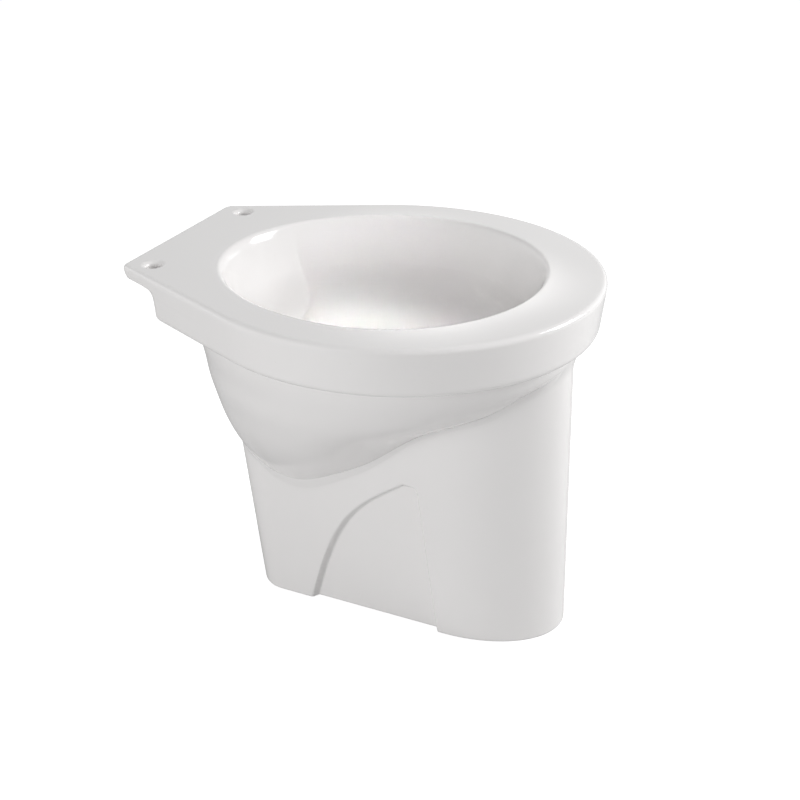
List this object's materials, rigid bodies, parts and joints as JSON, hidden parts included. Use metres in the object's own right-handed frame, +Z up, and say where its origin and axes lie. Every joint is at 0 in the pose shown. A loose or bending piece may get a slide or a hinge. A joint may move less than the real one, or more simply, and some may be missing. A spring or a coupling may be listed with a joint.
{
  "type": "toilet pan",
  "caption": "Floor-standing washdown toilet pan in white glazed china with an oval rim, a rear seat deck, a hollow foot and a floor outlet.",
  "frame": {"origin": "on the floor under the middle of the pan's length and width", "axes": "+Z up, -Y towards the front of the rim, +Y towards the seat deck and the flush inlet, +X to the pan's left as it faces the user"},
  "size_m": [0.3635, 0.4525, 0.368],
  "materials": {
    "glazed_china": "glossy white glaze",
    "bare_china": "matt, unglazed outside"
  },
  "bodies": {
    "root": {"rim": "glazed_china", "rim_lip": "glazed_china", "bowl": "glazed_china", "foot": "glazed_china", "flush_inlet": "glazed_china", "channel_floor": "glazed_china", "flush_divider": "glazed_china", "trapway": "bare_china", "outlet_collar": "bare_china"}
  },
  "joints": []
}
